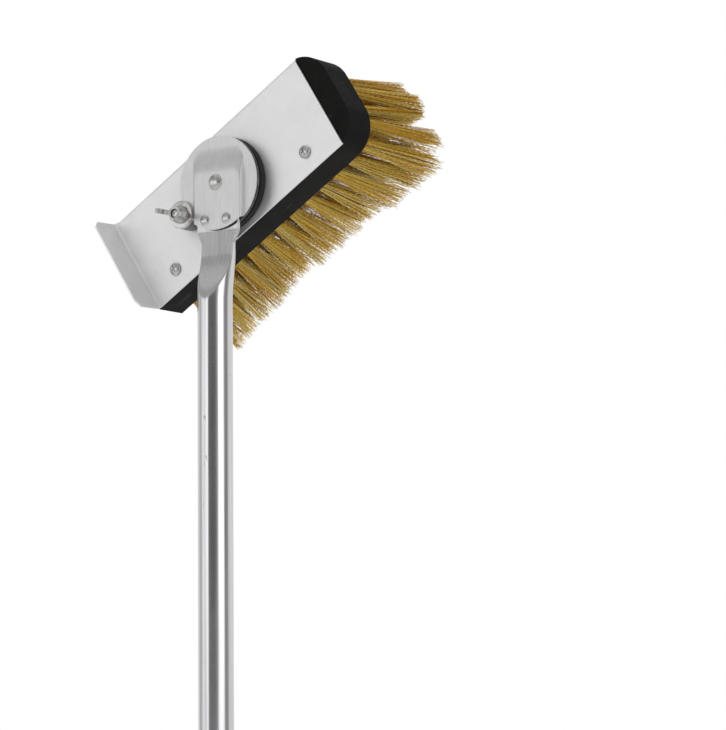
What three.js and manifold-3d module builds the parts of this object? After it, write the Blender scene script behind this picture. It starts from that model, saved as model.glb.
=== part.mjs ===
// Long-handled wire brush: a wooden grip, a steel tube flattened at its top end, and a head that swivels
// on a riveted disc and is locked by a wing nut. The head has a scraper plate and rows of brass wire.
// Millimetres. +Z runs up the pole from the middle of the grip's butt face. -Y is the front, where the
// wing nut is, and the wires point to +Y.

import * as THREE from 'three';
import { mergeVertices } from 'three/addons/utils/BufferGeometryUtils.js';
import Module from 'manifold-3d';

const wasm = await Module();
wasm.setup();

// ---- Driving dimensions ----

const gap = 0.3; // between pieces that touch, and between a shank and its hole

// pole
const pivotHeight = 1100; // swivel centre above the butt face
const tubeRadius = 12.5;
const tubeWall = 1;
const flatWidth = 36.4;
const flatThickness = 3;
const flatSetBack = 4.5; // middle of the flattened end behind the tube's axis
const flatAbovePivot = 12.2;
const neckLength = 54; // from the round tube to the flattened end
const neckRamp = 0.66; // share of the neck's length that takes most of the pressing at the front
const neckRampDepth = 0.75; // share of the pressing that it takes
const neckSwell = 1.2; // how far the neck's sides swell before they spread to the flat
const neckSpreadStart = 0.8; // share of the neck's length where its sides start to spread

// grip
const gripLength = 201;
const gripRadius = 21.6;
const gripButtRounding = 6.5;
const gripHandLength = 88; // straight part at the butt
const waistRadius = 15.2;
const waistStart = 113;
const waistEnd = 130;
const gripCollarStart = 160;
const gripChamferStart = 189;
const gripMouthRadius = 16.5;
const spigotLength = 45;
const slotWidth = 21;
const slotHeight = 48.5;
const slotCentre = 46; // above the butt face
const gripScrewAbove = 14; // above the end of the grip
const gripScrewTurn = 17; // degrees from +X towards +Y

// pan-head screws
const screwHeadRadius = 4.65;
const screwHeadHeight = 2.2;
const screwShankRadius = 2;
const screwLength = 16;
const gripScrewLength = 11;
const recessWidth = 1.1;
const recessSpan = 4.6;
const recessDepth = 1.3;

// discs and their rivets
const discRadius = 34;
const discSheet = 1.2;
const rearSheet = 1;
const drawnWall = 0.8; // sheet left in the sloping wall of the pressing
const sideSlope = 1.7; // run of the pressing's sloping sides
const endSlope = 3.7; // run of its sloping end
const pressingCorner = 6;
const discRivetSpread = 9.5; // either side of the middle
const discRivetDrop = 26.6; // below the pivot
const discRivetHeadRadius = 4.05;
const discRivetHeadHeight = 1.8;
const discRivetShankRadius = 2.2;
const discRivetTailHeight = 1.6;
const pivotHeadRadius = 5.85;
const pivotHeadHeight = 2.9;
const pivotShankRadius = 3;
const pivotTailRadius = 5.5;
const pivotTailHeight = 2.4;
const pivotWasherRadius = 8;
const pivotWasherThickness = 1;

// head
const headTilt = 32.3; // degrees, nose up from +X
const plateLength = 192.5;
const plateWidth = 77;
const lipReach = 98; // from the pivot to the plate's lip end
const freeReach = 37.5; // from the pivot to the plate's free edge
const plateSheet = 1.2;
const plateBend = 1.5; // inside radius of its bends
const lipHeight = 24;
const lipLean = 2.6; // degrees outwards
const lipChamfer = 5;
const flangeDepth = 12;
const swingClearance = 0.7; // between the tube and the plate's screw heads behind it
const plateScrewInset = 28.2; // from each end of the plate
const plateScrewFromEdge = 15; // from the free edge
const blockThickness = 26.5;
const noseReach = 16.5; // block beyond the plate
const noseProud = 2; // nose above the flange
const noseCorner = 24;
const pocketClearance = 1;

// clamp
const studBesideDisc = 0.5; // least room between the stud and the discs' rims
const washerBesideFlat = 3.4; // least room between the clamp washer and the tube's flat end
const studRadius = 3;
const studHeadRadius = 6;
const studHeadHeight = 2.5;
const studProud = 6.5; // beyond the washer
const clampWasherRadius = 10;
const clampWasherThickness = 3.5;
const wingAngle = 168; // degrees from +X towards +Z, as the nut stands
const hubRadius = 6.5;
const hubTopRadius = 5;
const hubHeight = 7;
const wingRadius = 14;
const wingHeight = 13.5;
const wingTip = 3.2;
const wingThickness = 3.4;

// wires
const rowCount = 5;
const rootInset = 8; // wires' roots from the edges and ends of the block
const rowRootThickness = 6.4;
const rowFlare = 2.2; // degrees each side, across the row
const rowLean = -9; // degrees that the middle row leans, towards the free edge
const rowFan = 2; // degrees more from one row to the next
const wireDepth = 80; // from the block's back to the tips
const lipEndSplay = 18.5; // degrees
const noseEndSplay = 11; // degrees

// ---- Levels from front to back, worked out from the sizes above ----

const flatFront = flatSetBack - flatThickness / 2;
const flatBack = flatSetBack + flatThickness / 2;
const pressingFront = flatFront - gap - discSheet;
const rimFront = flatBack - discSheet;
const rearDiscFront = flatBack + gap;
const puckFront = rearDiscFront + rearSheet + gap;
const plateFront = tubeRadius + swingClearance + screwHeadHeight;
const puckBack = plateFront - gap;
const plateBack = plateFront + plateSheet;
const blockFront = plateBack + gap;
const blockBack = blockFront + blockThickness;
const clampWasherBack = rimFront - gap;
const clampWasherFront = clampWasherBack - clampWasherThickness;
const wingNutBack = clampWasherFront - gap;

// ---- The stud's distance from the pivot, towards the lip: clear of the discs and of the flat end ----

const tiltShare = Math.cos(THREE.MathUtils.degToRad(headTilt));
const studReach = Math.max(
	discRadius + studBesideDisc + studRadius,
	(flatWidth / 2 + washerBesideFlat + clampWasherRadius) / tiltShare,
);

// ---- Ends and edges of the plate about the pivot, along the head's own X and Z ----

const lipEnd = -lipReach;
const noseEnd = plateLength - lipReach;
const freeEdge = -freeReach;
const flangeEdge = plateWidth - freeReach;
const plateScrews = { lip_end: lipEnd + plateScrewInset, nose_end: noseEnd - plateScrewInset };
const plateScrewLevel = freeEdge + plateScrewFromEdge;
const blockTop = flangeEdge - plateSheet - gap; // under the flange
const noseTop = flangeEdge + noseProud;
const nose = noseEnd + noseReach;

// ---- Materials ----

const metal = (color, roughness) => new THREE.MeshStandardMaterial({ color, roughness, metalness: 1 });
const plain = (color, roughness) => new THREE.MeshStandardMaterial({ color, roughness, metalness: 0 });
const polishedSteel = metal(0xc9cacc, 0.22);
const brushedSteel = metal(0xbfc0c1, 0.38);
const brightNickel = metal(0xb8b7b2, 0.25);
const darkSteel = metal(0x4a4a4c, 0.5);
const brassWire = metal(0xc79a3e, 0.42);
const beech = plain(0xa8743a, 0.35);
const blackBlock = plain(0x232221, 0.6);
const blackPad = plain(0x1c1c1c, 0.75);

// ---- Shape helpers ----

const radians = THREE.MathUtils.degToRad;
const ringSegments = 48;
const smallSegments = 24;
const curveSegments = 10;

// A closed geometry as a manifold-3d solid.
function solid(geometry) {
	const bare = geometry.index ? geometry.toNonIndexed() : geometry.clone();
	bare.deleteAttribute('normal');
	bare.deleteAttribute('uv');
	const merged = mergeVertices(bare, 1e-4);
	const vertProperties = new Float32Array(merged.attributes.position.array);
	const triVerts = new Uint32Array(merged.index.array);
	return new wasm.Manifold(new wasm.Mesh({ numProp: 3, vertProperties, triVerts }));
}

// A manifold-3d solid as a three.js mesh with a name and a material.
function piece(name, material, shape) {
	const { vertProperties, triVerts } = shape.getMesh();
	const geometry = new THREE.BufferGeometry();
	geometry.setAttribute('position', new THREE.BufferAttribute(new Float32Array(vertProperties), 3));
	geometry.setIndex(new THREE.BufferAttribute(new Uint32Array(triVerts), 1));
	geometry.computeVertexNormals();
	const mesh = new THREE.Mesh(geometry, material);
	mesh.name = name;
	return mesh;
}

// A cylinder along Y between two levels.
function cylinder(radius, front, back, x = 0, z = 0, segments = smallSegments) {
	const geometry = new THREE.CylinderGeometry(radius, radius, back - front, segments);
	return solid(geometry.translate(x, (front + back) / 2, z));
}

// A solid turned about Y. The profile's points are [radius, y], from front to back.
function turned(profile, segments = smallSegments) {
	const points = profile.map(([radius, y]) => new THREE.Vector2(radius, y));
	return solid(new THREE.LatheGeometry(points, segments));
}

// An outline in (x, z) pushed along Y between two levels.
function extrudedAlongY(outline, front, back) {
	const options = { depth: back - front, bevelEnabled: false, curveSegments };
	return solid(new THREE.ExtrudeGeometry(outline, options).rotateX(Math.PI / 2).translate(0, back, 0));
}

// An outline in (x, y) pushed along Z.
function extrudedAlongZ(outline, bottom, top) {
	const options = { depth: top - bottom, bevelEnabled: false, curveSegments };
	return solid(new THREE.ExtrudeGeometry(outline, options).translate(0, 0, bottom));
}

// An outline in (y, z) pushed along X.
function extrudedAlongX(outline, from, to) {
	const axes = new THREE.Matrix4().makeBasis(
		new THREE.Vector3(0, 1, 0),
		new THREE.Vector3(0, 0, 1),
		new THREE.Vector3(1, 0, 0),
	);
	const options = { depth: to - from, bevelEnabled: false, curveSegments };
	return solid(new THREE.ExtrudeGeometry(outline, options).applyMatrix4(axes).translate(from, 0, 0));
}

// A solid through rings of points, closed by a fan at each end. A ring turns anticlockwise as seen from
// the end that the loft runs to.
function loft(rings) {
	const count = rings[0].length;
	const positions = rings.flat().flatMap((p) => [p.x, p.y, p.z]);
	const indices = [];
	for (let ring = 0; ring < rings.length - 1; ring++) {
		for (let i = 0; i < count; i++) {
			const a = ring * count + i;
			const b = ring * count + ((i + 1) % count);
			indices.push(a, b, b + count, a, b + count, a + count);
		}
	}
	const middle = (ring) => ring.reduce((sum, p) => sum.add(p), new THREE.Vector3()).divideScalar(count);
	const first = rings.length * count;
	for (const centre of [middle(rings[0]), middle(rings.at(-1))]) positions.push(...centre.toArray());
	for (let i = 0; i < count; i++) {
		const next = (i + 1) % count;
		const last = (rings.length - 1) * count;
		indices.push(first, next, i, first + 1, last + i, last + next);
	}
	const geometry = new THREE.BufferGeometry();
	geometry.setAttribute('position', new THREE.Float32BufferAttribute(positions, 3));
	geometry.setIndex(indices);
	return solid(geometry);
}

// A pan-head screw or domed rivet head: points from the crown to the rim, whose back is at y = 0.
function domeProfile(radius, height, edge) {
	const steps = 6;
	const points = [];
	for (let i = 0; i <= steps; i++) {
		const angle = (i / steps) * (Math.PI / 2);
		points.push([radius * Math.sin(angle), -edge - (height - edge) * Math.cos(angle)]);
	}
	points[0][0] = 0;
	points.push([radius, 0]);
	return points;
}

// ---- Pole ----

// One section of the tube, pressed between two planes. The share runs from 0, where the neck starts, to 1,
// where it is flat; inset thins the section by the wall.
function tubeSection(z, share, inset) {
	const { lerp, smoothstep, clamp } = THREE.MathUtils;
	const pressed = smoothstep(share, 0, 1);
	const ramped = lerp(share, smoothstep(share, 0, neckRamp), neckRampDepth);
	const swollen = neckSwell * smoothstep(share, 0, neckSpreadStart);
	const spread = smoothstep(share, neckSpreadStart, 1);
	const halfWidth = lerp(tubeRadius + swollen, flatWidth / 2, spread) - inset;
	const halfDepth = tubeRadius - inset;
	const centre = lerp(0, flatSetBack, pressed);
	const front = lerp(-tubeRadius, flatFront, ramped) + inset;
	const back = lerp(tubeRadius, flatBack, pressed) - inset;
	const ring = [];
	for (let i = 0; i < ringSegments; i++) {
		const angle = (i / ringSegments) * 2 * Math.PI;
		const y = clamp(centre + halfDepth * Math.sin(angle), front, back);
		ring.push(new THREE.Vector3(halfWidth * Math.cos(angle), y, z));
	}
	return ring;
}

// Everything inside the flattened end's outline, with its two rounded corners.
function flatEndOutline() {
	const half = flatWidth / 2;
	const corner = pressingCorner - gap;
	const top = pivotHeight + flatAbovePivot;
	const outline = new THREE.Shape();
	outline.moveTo(-half - 1, 0);
	outline.lineTo(half + 1, 0);
	outline.lineTo(half + 1, top - corner);
	outline.absarc(half - corner, top - corner, corner, 0, Math.PI / 2, false);
	outline.absarc(corner - half, top - corner, corner, Math.PI / 2, Math.PI, false);
	outline.lineTo(-half - 1, top - corner);
	return outline;
}

function poleTube() {
	const flatStart = pivotHeight - discRadius;
	const neckStart = flatStart - neckLength;
	const bottom = gripLength + gap;
	const steps = 14;
	const hollowSteps = 10;
	const outside = [tubeSection(bottom, 0, 0)];
	const inside = [tubeSection(bottom - 1, 0, tubeWall)];
	for (let i = 0; i <= steps; i++) {
		const z = neckStart + (neckLength * i) / steps;
		outside.push(tubeSection(z, i / steps, 0));
		if (i <= hollowSteps) inside.push(tubeSection(z, i / steps, tubeWall));
	}
	outside.push(tubeSection(pivotHeight + flatAbovePivot, 1, 0));
	const rivetDepth = [flatFront - 1, flatBack + 1];
	let tube = loft(outside).subtract(loft(inside));
	tube = tube.intersect(extrudedAlongY(flatEndOutline(), -2 * tubeRadius, 2 * tubeRadius));
	for (const side of [-1, 1]) {
		const z = pivotHeight - discRivetDrop;
		const hole = cylinder(discRivetShankRadius + gap, ...rivetDepth, side * discRivetSpread, z);
		tube = tube.subtract(hole);
	}
	tube = tube.subtract(cylinder(pivotShankRadius + gap, ...rivetDepth, 0, pivotHeight));
	return tube.subtract(gripScrewHole());
}

// The grip screw's axis points out of the tube, turned from +X towards +Y.
function atGripScrew(shape) {
	return shape.rotate([0, 0, gripScrewTurn + 90]).translate([0, 0, gripLength + gripScrewAbove]);
}

function gripScrewHole() {
	const tip = tubeRadius + gap - gripScrewLength - gap;
	return atGripScrew(cylinder(screwShankRadius + gap, -tubeRadius - 1, -tip));
}

// The grip's outline, [radius, height], from the butt face to the top of the spigot.
function gripProfile() {
	const steps = 6;
	const points = [[0, 0]];
	for (let i = 0; i <= steps; i++) {
		const angle = (i / steps) * (Math.PI / 2);
		const radius = gripRadius - gripButtRounding * (1 - Math.sin(angle));
		points.push([radius, gripButtRounding * (1 - Math.cos(angle))]);
	}
	for (let i = 0; i <= steps; i++) {
		const blend = THREE.MathUtils.smoothstep(i / steps, 0, 1);
		const height = THREE.MathUtils.lerp(gripHandLength, waistStart, i / steps);
		points.push([THREE.MathUtils.lerp(gripRadius, waistRadius, blend), height]);
	}
	for (let i = 0; i <= steps; i++) {
		const blend = THREE.MathUtils.smoothstep(i / steps, 0, 1);
		const height = THREE.MathUtils.lerp(waistEnd, gripCollarStart, i / steps);
		points.push([THREE.MathUtils.lerp(waistRadius, gripRadius, blend), height]);
	}
	const spigotRadius = tubeRadius - tubeWall - gap;
	points.push([gripRadius, gripChamferStart], [gripMouthRadius, gripLength], [spigotRadius, gripLength]);
	points.push([spigotRadius, gripLength + spigotLength], [0, gripLength + spigotLength]);
	return points;
}

function grip() {
	const body = turned(gripProfile(), ringSegments).rotate([90, 0, 0]);
	const half = slotWidth / 2;
	const straight = (slotHeight - slotWidth) / 2;
	const slot = new THREE.Shape();
	slot.absarc(0, slotCentre + straight, half, 0, Math.PI, false);
	slot.absarc(0, slotCentre - straight, half, Math.PI, 2 * Math.PI, false);
	return body.subtract(extrudedAlongY(slot, -gripRadius - 1, gripRadius + 1)).subtract(gripScrewHole());
}

// A pan-head screw along Y with its cross recess. The back of its head is at y = 0.
function panHeadScrew(length) {
	const head = domeProfile(screwHeadRadius, screwHeadHeight, 0.7);
	const shank = [[screwShankRadius, 0], [screwShankRadius, length - 2], [0, length]];
	let screw = turned([...head, ...shank]);
	for (const [width, depth] of [[recessWidth, recessSpan], [recessSpan, recessWidth]]) {
		const slot = new THREE.BoxGeometry(width, 2 * recessDepth, depth).translate(0, -screwHeadHeight, 0);
		screw = screw.subtract(solid(slot));
	}
	return screw;
}

function gripScrew() {
	return atGripScrew(panHeadScrew(gripScrewLength).translate([0, -tubeRadius - gap, 0]));
}

// The raised middle of the swivel disc, open at the disc's lower rim, between two levels.
function pressing(halfWidth, top, front, back) {
	const steps = 5;
	const ring = (level, side, end) => {
		const half = halfWidth + side;
		const corner = pressingCorner + side;
		const right = [new THREE.Vector3(half, level, -discRadius - 2)];
		for (let i = 0; i <= steps; i++) {
			const angle = (i / steps) * (Math.PI / 2);
			const x = half - corner + corner * Math.cos(angle);
			right.push(new THREE.Vector3(x, level, top + end - corner + corner * Math.sin(angle)));
		}
		const left = right.map((p) => new THREE.Vector3(-p.x, level, p.z));
		return [...left, ...right.reverse()];
	};
	return loft([ring(front, 0, 0), ring(back, sideSlope, endSlope)]);
}

// A disc along Y about the swivel's axis, with the pivot rivet's hole and the two disc rivets' holes.
function withRivetHoles(disc) {
	const through = [pressingFront - 1, rearDiscFront + rearSheet + 1];
	let drilled = disc.subtract(cylinder(pivotShankRadius + gap, ...through));
	for (const side of [-1, 1]) {
		const x = side * discRivetSpread;
		drilled = drilled.subtract(cylinder(discRivetShankRadius + gap, ...through, x, -discRivetDrop));
	}
	return drilled.translate([0, 0, pivotHeight]);
}

function swivelDisc() {
	const halfWidth = flatWidth / 2 + gap;
	const top = flatAbovePivot + gap;
	let disc = cylinder(discRadius, rimFront, flatBack, 0, 0, ringSegments);
	disc = disc.add(pressing(halfWidth + drawnWall, top + drawnWall, pressingFront, rimFront));
	disc = disc.intersect(cylinder(discRadius, pressingFront - 1, flatBack + 1, 0, 0, ringSegments));
	return withRivetHoles(disc.subtract(pressing(halfWidth, top, flatFront - gap, flatBack)));
}

function rearDisc() {
	return withRivetHoles(cylinder(discRadius, rearDiscFront, rearDiscFront + rearSheet, 0, 0, ringSegments));
}

// A rivet along Y: a domed head in front of the pressing, a shank, and a flat tail that starts at a level.
function rivet(headRadius, headHeight, shankRadius, tailFront, tailRadius, tailHeight) {
	const under = pressingFront - gap;
	const head = domeProfile(headRadius, headHeight, 0.5).map(([radius, y]) => [radius, y + under]);
	const tail = [[tailRadius, tailFront], [tailRadius, tailFront + tailHeight], [0, tailFront + tailHeight]];
	return turned([...head, [shankRadius, under], [shankRadius, tailFront], ...tail]);
}

function discRivet(side) {
	const shape = rivet(discRivetHeadRadius, discRivetHeadHeight, discRivetShankRadius,
		rearDiscFront + rearSheet + gap, discRivetShankRadius + 1, discRivetTailHeight);
	return shape.translate([side * discRivetSpread, 0, pivotHeight - discRivetDrop]);
}

function pivotRivet() {
	const tailFront = blockFront + pivotWasherThickness + gap;
	const shape = rivet(pivotHeadRadius, pivotHeadHeight, pivotShankRadius,
		tailFront, pivotTailRadius, pivotTailHeight);
	return shape.translate([0, 0, pivotHeight]);
}

// ---- Head: its own X runs from the lip to the nose, and its Z towards the flange ----

function frictionPuck() {
	const bore = cylinder(pivotShankRadius + gap, puckFront - 1, puckBack + 1);
	// the disc rivets' tails sweep a ring in the puck's face as the head swivels
	const middle = Math.hypot(discRivetSpread, discRivetDrop);
	const half = discRivetShankRadius + 1 + pocketClearance;
	const depth = puckFront + discRivetTailHeight + gap;
	const groove = cylinder(middle + half, puckFront - 1, depth, 0, 0, ringSegments)
		.subtract(cylinder(middle - half, puckFront - 2, depth + 1, 0, 0, ringSegments));
	return cylinder(discRadius, puckFront, puckBack, 0, 0, ringSegments).subtract(bore).subtract(groove);
}

// The lip's bend and blade in (x, y), with enough of the plate to join it.
function lipOutline() {
	const outer = plateBend + plateSheet;
	const x = lipEnd + outer;
	const y = plateBack - outer;
	const turn = radians(90 - lipLean);
	const along = new THREE.Vector2(Math.cos(Math.PI + turn), Math.sin(Math.PI + turn));
	const out = new THREE.Vector2(Math.cos(Math.PI / 2 + turn), Math.sin(Math.PI / 2 + turn));
	const blade = lipHeight - plateBend;
	const tip = (radius) => [x + out.x * radius + along.x * blade, y + out.y * radius + along.y * blade];
	const outline = new THREE.Shape();
	outline.moveTo(x + 1, plateFront);
	outline.lineTo(x + 1, plateBack);
	outline.absarc(x, y, outer, Math.PI / 2, Math.PI / 2 + turn, false);
	outline.lineTo(...tip(outer));
	outline.lineTo(...tip(plateBend));
	outline.absarc(x, y, plateBend, Math.PI / 2 + turn, Math.PI / 2, true);
	return outline;
}

// The plate and its flange in (y, z).
function flangeOutline() {
	const outer = plateBend + plateSheet;
	const y = plateFront + outer;
	const z = flangeEdge - outer;
	const outline = new THREE.Shape();
	outline.moveTo(plateFront, freeEdge);
	outline.lineTo(plateFront, z);
	outline.absarc(y, z, outer, Math.PI, Math.PI / 2, true);
	outline.lineTo(plateFront + flangeDepth, flangeEdge);
	outline.lineTo(plateFront + flangeDepth, flangeEdge - plateSheet);
	outline.absarc(y, z, plateBend, Math.PI / 2, Math.PI, false);
	outline.lineTo(plateBack, freeEdge);
	return outline;
}

// The lip's chamfered corners, as an outline in (y, z) that keeps the rest of the plate whole.
function chamferOutline() {
	const low = freeEdge - 1;
	const high = flangeEdge + 1;
	const tip = plateFront - lipHeight * Math.cos(radians(lipLean)) - 1;
	const cut = lipChamfer + 2;
	const back = plateFront + flangeDepth + 1;
	const points = [[back, low], [back, high], [tip + cut, high], [tip, high - cut], [tip, low + cut],
		[tip + cut, low]];
	return new THREE.Shape(points.map(([y, z]) => new THREE.Vector2(y, z)));
}

function scraperPlate() {
	let plate = extrudedAlongX(flangeOutline(), lipEnd + plateBend + plateSheet, noseEnd);
	plate = plate.add(extrudedAlongZ(lipOutline(), freeEdge, flangeEdge));
	plate = plate.intersect(extrudedAlongX(chamferOutline(), lipEnd - lipHeight, noseEnd + 1));
	const through = [plateFront - 1, plateBack + 1];
	plate = plate.subtract(cylinder(pivotShankRadius + gap, ...through));
	plate = plate.subtract(cylinder(studRadius + gap, ...through, -studReach));
	for (const x of Object.values(plateScrews)) {
		plate = plate.subtract(cylinder(screwShankRadius + gap, ...through, x, plateScrewLevel));
	}
	return plate;
}

function plateScrew(x) {
	return panHeadScrew(screwLength).translate([x, plateFront - gap, plateScrewLevel]);
}

// The chamfer that clears the inside of the flange's bend, in (y, z).
function blockChamferOutline() {
	const size = plateBend - gap;
	const points = [[blockFront - 1, blockTop - size - 1], [blockFront + size + 1, blockTop + 1],
		[blockFront - 1, blockTop + 1]];
	return new THREE.Shape(points.map(([y, z]) => new THREE.Vector2(y, z)));
}

// The block in (x, z): a rebate under the flange, and a nose with two large round corners.
function blockOutline() {
	const centre = nose - noseCorner;
	const shoulder = noseEnd + gap;
	const start = Math.acos(THREE.MathUtils.clamp((shoulder - centre) / noseCorner, 0, 1));
	const outline = new THREE.Shape();
	outline.moveTo(lipEnd, blockTop);
	outline.lineTo(lipEnd, freeEdge);
	outline.lineTo(centre, freeEdge);
	outline.absarc(centre, freeEdge + noseCorner, noseCorner, -Math.PI / 2, 0, false);
	outline.absarc(centre, noseTop - noseCorner, noseCorner, 0, start, false);
	outline.lineTo(shoulder, blockTop);
	return outline;
}

// How far the block's outline reaches at a level between its two edges.
function noseAt(level) {
	const near = Math.min(level - freeEdge, noseTop - level);
	const into = Math.max(noseCorner - near, 0);
	return nose - noseCorner + Math.sqrt(noseCorner ** 2 - into ** 2);
}

function backingBlock() {
	let block = extrudedAlongY(blockOutline(), blockFront, blockBack);
	block = block.subtract(extrudedAlongX(blockChamferOutline(), lipEnd - 1, noseEnd + gap));
	const front = blockFront - 1;
	const pivotPocket = blockFront + pivotWasherThickness + gap + pivotTailHeight + pocketClearance;
	block = block.subtract(cylinder(pivotWasherRadius + pocketClearance, front, pivotPocket));
	const studPocket = blockFront + studHeadHeight + pocketClearance;
	block = block.subtract(cylinder(studHeadRadius + pocketClearance, front, studPocket, -studReach));
	const screwHole = plateFront - gap + screwLength + pocketClearance;
	for (const x of Object.values(plateScrews)) {
		block = block.subtract(cylinder(screwShankRadius + gap, front, screwHole, x, plateScrewLevel));
	}
	return block;
}

function pivotWasher() {
	const back = blockFront + pivotWasherThickness;
	const bore = cylinder(pivotShankRadius + gap, blockFront - 1, back + 1);
	return cylinder(pivotWasherRadius, blockFront, back).subtract(bore);
}

function clampStud() {
	const tip = clampWasherFront - studProud;
	const chamfer = 0.7;
	const profile = [[0, tip], [studRadius - chamfer, tip], [studRadius, tip + chamfer], [studRadius, blockFront],
		[studHeadRadius, blockFront], [studHeadRadius, blockFront + studHeadHeight],
		[0, blockFront + studHeadHeight]];
	return turned(profile).translate([-studReach, 0, 0]);
}

function clampHeel() {
	const back = plateFront - gap;
	const heel = cylinder(clampWasherRadius, rimFront, back, -studReach);
	const bore = cylinder(studRadius + gap, rimFront - 1, back + 1, -studReach);
	const puckSide = cylinder(discRadius + gap, rimFront - 1, back + 1, 0, 0, ringSegments);
	return heel.subtract(bore).subtract(puckSide);
}

// ---- Clamp ----

function clampWasher() {
	const chamfer = 0.6;
	const radius = clampWasherRadius;
	const profile = [[0, clampWasherFront], [radius - chamfer, clampWasherFront],
		[radius, clampWasherFront + chamfer], [radius, clampWasherBack], [0, clampWasherBack]];
	const bore = cylinder(studRadius + gap, clampWasherFront - 1, clampWasherBack + 1);
	return turned(profile, ringSegments).subtract(bore).translate([-studReach, 0, 0]);
}

// One wing in (x, y): it leaves the hub low down and ends in a round tip.
function wingOutline() {
	const tipX = wingRadius - wingTip;
	const tipY = wingNutBack - wingHeight + wingTip;
	const outline = new THREE.Shape();
	outline.moveTo(hubTopRadius - 1, wingNutBack - 1.5);
	outline.lineTo(hubRadius, wingNutBack - 1.5);
	outline.quadraticCurveTo(tipX + 1, wingNutBack - 4, tipX + wingTip, tipY);
	outline.absarc(tipX, tipY, wingTip, 0, -Math.PI, true);
	outline.quadraticCurveTo(hubRadius + 1, wingNutBack - hubHeight, hubTopRadius - 1, wingNutBack - hubHeight);
	return outline;
}

function wingNut() {
	const top = wingNutBack - hubHeight;
	let nut = turned([[0, top], [hubTopRadius, top], [hubRadius, wingNutBack - 2],
		[hubRadius, wingNutBack], [0, wingNutBack]]);
	const wing = extrudedAlongZ(wingOutline(), -wingThickness / 2, wingThickness / 2);
	nut = nut.add(wing).add(wing.rotate([0, 180, 0]));
	nut = nut.subtract(cylinder(studRadius + gap, wingNutBack - wingHeight - 1, wingNutBack + 1));
	return nut.rotate([0, headTilt - wingAngle, 0]).translate([-studReach, 0, 0]);
}

// ---- Wires ----

// One row of wire tufts as a flared slab. Rows are counted from the free edge to the flange.
function bristleRow(index) {
	const place = index - (rowCount - 1) / 2;
	const lowest = freeEdge + rootInset + rowRootThickness / 2;
	const highest = blockTop - rootInset - rowRootThickness / 2;
	const middle = THREE.MathUtils.lerp(lowest, highest, index / (rowCount - 1));
	const root = blockBack + gap;
	const tan = (degrees) => Math.tan(radians(degrees));
	const ring = (level) => {
		const depth = level - root;
		const lean = middle + depth * tan(rowLean + place * rowFan);
		const half = rowRootThickness / 2 + depth * tan(rowFlare);
		const from = lipEnd + rootInset - depth * tan(lipEndSplay);
		const to = noseAt(middle) - rootInset + depth * tan(noseEndSplay);
		return [
			new THREE.Vector3(from, level, lean - half),
			new THREE.Vector3(from, level, lean + half),
			new THREE.Vector3(to, level, lean + half),
			new THREE.Vector3(to, level, lean - half),
		];
	};
	return loft([ring(root), ring(root + wireDepth)]);
}

// ---- Assembly ----

const brush = new THREE.Group();
brush.add(piece('pole_tube', polishedSteel, poleTube()));
brush.add(piece('grip', beech, grip()));
brush.add(piece('grip_screw', brightNickel, gripScrew()));
brush.add(piece('swivel_disc', brushedSteel, swivelDisc()));
brush.add(piece('rear_disc', darkSteel, rearDisc()));
brush.add(piece('disc_rivet_left', brightNickel, discRivet(-1)));
brush.add(piece('disc_rivet_right', brightNickel, discRivet(1)));
brush.add(piece('pivot_rivet', brightNickel, pivotRivet()));

const head = new THREE.Group();
head.position.set(0, 0, pivotHeight);
head.rotation.y = radians(-headTilt);
head.add(piece('friction_puck', blackPad, frictionPuck()));
head.add(piece('scraper_plate', polishedSteel, scraperPlate()));
for (const [place, x] of Object.entries(plateScrews)) {
	head.add(piece(`plate_screw_${place}`, brightNickel, plateScrew(x)));
}
head.add(piece('backing_block', blackBlock, backingBlock()));
head.add(piece('pivot_washer', darkSteel, pivotWasher()));
head.add(piece('clamp_stud', brightNickel, clampStud()));
head.add(piece('clamp_heel', darkSteel, clampHeel()));
for (let row = 0; row < rowCount; row++) {
	head.add(piece(`bristle_row_${row + 1}`, brassWire, bristleRow(row)));
}

const clamp = new THREE.Group();
clamp.add(piece('clamp_washer', brightNickel, clampWasher()));
clamp.add(piece('wing_nut', brightNickel, wingNut()));
head.add(clamp);
brush.add(head);

export default brush;
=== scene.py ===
"""Looks of the long-handled wire brush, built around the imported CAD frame.

Lengths in the code are millimetres until a mesh is made, and metres from there on.
"""

import math

import bmesh
import bpy
import numpy as np
from mathutils import Matrix, Vector


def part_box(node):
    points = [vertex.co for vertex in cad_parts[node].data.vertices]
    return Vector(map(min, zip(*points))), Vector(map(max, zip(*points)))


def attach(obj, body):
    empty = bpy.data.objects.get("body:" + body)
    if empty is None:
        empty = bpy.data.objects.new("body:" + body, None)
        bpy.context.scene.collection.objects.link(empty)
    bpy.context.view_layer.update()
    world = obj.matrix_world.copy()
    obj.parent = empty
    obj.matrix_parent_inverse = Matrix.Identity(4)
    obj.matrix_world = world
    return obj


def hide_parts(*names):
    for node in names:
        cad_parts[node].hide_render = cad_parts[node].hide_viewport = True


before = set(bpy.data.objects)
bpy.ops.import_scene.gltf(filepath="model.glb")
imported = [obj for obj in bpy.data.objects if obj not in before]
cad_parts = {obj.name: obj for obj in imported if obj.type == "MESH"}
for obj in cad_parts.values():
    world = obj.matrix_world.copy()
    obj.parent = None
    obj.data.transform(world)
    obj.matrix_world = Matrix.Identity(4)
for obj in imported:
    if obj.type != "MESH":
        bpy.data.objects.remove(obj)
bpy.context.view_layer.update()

MM = 0.001
GAP = 0.3

# ---- Sizes shared with the CAD source, in millimetres ----

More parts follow.
